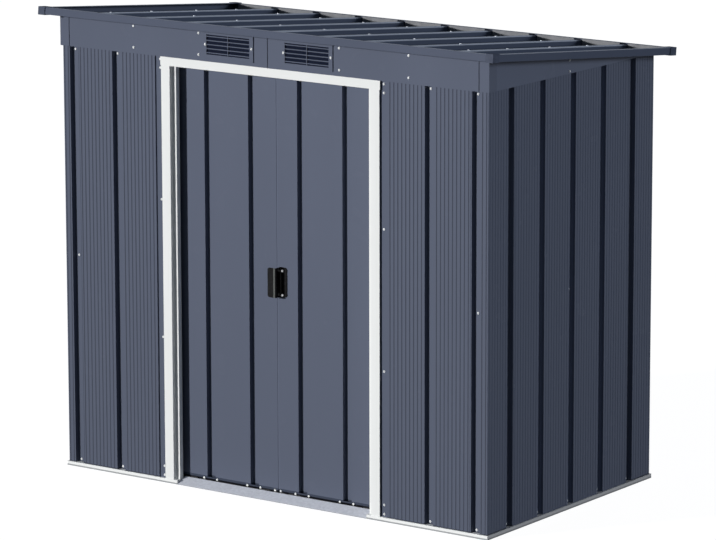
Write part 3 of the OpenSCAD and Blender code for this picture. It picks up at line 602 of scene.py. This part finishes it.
# Screws: steel pan heads on thin washers, driven through grooves, fascia, ribs and vents into the rails.
# They are painted white on walls, fascia and doors, and coated with zinc on the roof and the handle.
# Each is a surface of revolution with a cross recess, and each group of screws is one mesh.
def screw_heads(name, places, outward, body, finish):
    """Pan-head screws at places, all facing outward, joined in one mesh.

    A head is a ring profile of radius and height turned about its axis: washer rim, washer top, head rim
    and dome. In the cross recess, where four times the angle has its largest cosine, the dome's inner rings
    and its middle sink. Each head is turned on its axis by the golden angle from the one before.
    """
    washer_r, washer_t = 0.0046, 0.0008
    head_r, head_h = 0.0037, 0.0024
    sink, recess = 0.0004, 0.0011
    sides = 16
    radius = np.array([washer_r, washer_r, head_r, head_r * 0.96, head_r * 0.6, head_r * 0.3])
    height = np.array([-sink, washer_t, washer_t, washer_t + head_h * 0.6, head_h, head_h * 1.04])
    crossed = np.array([0, 0, 0, 0, 0.7, 1.0])
    angle = np.arange(sides) * 2 * np.pi / sides
    arm = np.clip(np.cos(4 * angle), 0, 1)
    ring = np.stack([
        radius[:, None] * np.cos(angle),
        radius[:, None] * np.sin(angle),
        height[:, None] - recess * crossed[:, None] * arm,
    ], axis=-1)
    ends = np.array([(0, 0, -sink), (0, 0, head_h - recess)])
    head = np.concatenate([ring.reshape(-1, 3), ends])

    places = np.asarray(places, float)
    outward = np.asarray(outward, float) / np.linalg.norm(outward)
    helper = np.array([0, 0, 1.0]) if abs(outward[2]) < 0.7 else np.array([0, 1.0, 0])
    across = np.cross(helper, outward)
    across /= np.linalg.norm(across)
    along = np.cross(outward, across)
    golden = np.arange(len(places)) * np.radians(137.5)
    cos, sin = np.cos(golden)[:, None], np.sin(golden)[:, None]
    x = head[:, 0] * cos - head[:, 1] * sin
    y = head[:, 0] * sin + head[:, 1] * cos
    local = x[..., None] * across + y[..., None] * along + head[:, 2, None] * outward
    points = (places[:, None] + local).reshape(-1, 3)

    rings = len(radius)
    i, j = np.meshgrid(np.arange(rings - 1), np.arange(sides), indexing="ij")
    k = (j + 1) % sides
    corners = [i * sides + j, i * sides + k, (i + 1) * sides + k, (i + 1) * sides + j]
    quads = np.stack(corners, -1).reshape(-1, 4)
    j = np.arange(sides)
    k = (j + 1) % sides
    foot, tip = rings * sides, rings * sides + 1
    last = (rings - 1) * sides
    fans = np.concatenate([
        np.stack([k, j, np.full(sides, foot)], -1),
        np.stack([last + j, last + k, np.full(sides, tip)], -1),
    ])
    shift = np.arange(len(places))[:, None, None] * len(head)
    faces = (quads + shift).reshape(-1, 4).tolist() + (fans + shift).reshape(-1, 3).tolist()
    screws = add_piece(name, points.tolist(), faces)
    screws.data.materials.append(finish)
    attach(screws, body)


def grid(*axes):
    """Every combination of the coordinates on three axes, as rows of points."""
    return np.stack(np.meshgrid(*axes, indexing="ij"), -1).reshape(-1, 3)


screw_white = baked_paint("screw_white", linear(240, 241, 240), white_drift, (0.3, 0.4), 0.3)[0]
back_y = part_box("back_panel_left")[1].y
wall_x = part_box("side_panel_right")[1].x
foot_z, foot_pair_z = 0.026, 0.060
low_z, mid_z, high_z = 0.552, 0.813, 1.07
head_z, head_pair_z, back_head_z = 1.592, 1.560, 1.550
front_shift, jamb_shift = -0.003, 0.003
front_grooves = np.array([-4.5, -3.5, 3.5, 4.5]) * groove_pitch + front_shift
jamb_grooves = np.array([-jamb_groove, jamb_groove]) + jamb_shift
corner_grooves = np.array([-4.5, 4.5]) * groove_pitch
side_grooves = wall_middle + np.arange(-2, 3) * groove_pitch
back_grooves = (np.arange(10) - 4.5) * groove_pitch
front_floor, back_floor, side_floor = front_y + groove_depth, back_y - groove_depth, wall_x - groove_depth
screw_heads("front_wall_screws", np.concatenate([
    grid(front_grooves, [front_floor], [foot_z, head_z]),
    grid(jamb_grooves, [front_y + strip_depth], [foot_z, foot_pair_z, low_z, high_z, head_pair_z, head_z]),
    grid(corner_grooves, [front_floor], [mid_z]),
]), (0, -1, 0), "shed", screw_white)
for side, name in ((-1, "left_wall_screws"), (1, "right_wall_screws")):
    screw_heads(name, np.concatenate([
        grid([side * side_floor], side_grooves, [foot_z]),
        grid([side * side_floor], [wall_middle], [mid_z]),
    ]), (side, 0, 0), "shed", screw_white)
screw_heads("back_wall_screws", np.concatenate([
    grid(back_grooves, [back_floor], [foot_z, back_head_z]),
    grid(back_grooves[::3], [back_floor], [mid_z]),
]), (0, 1, 0), "shed", screw_white)

fascia_x, fascia_z = np.array([-0.611, -0.311, 0.317, 0.617]), [1.626, 1.705]
vent_screw, vent_shift = 0.1045, 0.002
vent_x = np.array([-1, -1, 1, 1]) * vent_middle.x + np.array([-1, 1, -1, 1]) * vent_screw + vent_shift
screw_heads("fascia_screws", grid(fascia_x, [fascia_front], fascia_z), (0, -1, 0), "shed", screw_white)
screw_heads("vent_screws", grid(vent_x, [vent_low.y], [vent_middle.z]), (0, -1, 0), "shed", screw_white)
gable_x, gable_y, gable_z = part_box("gable_right")[1].x, -0.031, [1.613, 1.653]
for side, name in ((-1, "left_gable_screws"), (1, "right_gable_screws")):
    screw_heads(name, grid([side * gable_x], [gable_y], gable_z), (side, 0, 0), "shed", screw_white)

row_y, end_rib_y = [-0.195, 0.33], [-0.44, 0.08]
roof_places = np.concatenate([
    grid(rib_x, row_y, [crest_height]),
    grid(rib_x[[0, -1]], end_rib_y, [crest_height]),
])
roof_places[:, 2] -= roof_places[:, 1] * np.tan(roof_pitch)
roof_up = (0, np.sin(roof_pitch), np.cos(roof_pitch))
screw_heads("roof_screws", roof_places, roof_up, "shed", zinc)

door_grooves, beside_groove, meeting_edge = np.array([0.11, 0.31]), 0.03, 0.013
foot_x = np.concatenate([[meeting_edge], door_grooves - beside_groove, door_grooves + beside_groove])
door_foot_z, foot_shift = 0.0290, -0.0035
for side, door in ((-1, "left_door"), (1, "right_door")):
    foot_places = grid(foot_shift + side * foot_x, [door_low.y], [door_foot_z])
    screw_heads(door + "_screws", foot_places, (0, -1, 0), door, screw_white)

flange_x, flange_y, flange_z = 0.0235, door_low.y - 0.003, [0.766, 0.856]
bright_zinc = zinc_coat("bright_zinc", linear(240, 241, 243), 1.0, 0.002)[0]
handle_places = grid([flange_x], [flange_y], flange_z)
screw_heads("handle_screws", handle_places, (0, -1, 0), "right_door", bright_zinc)
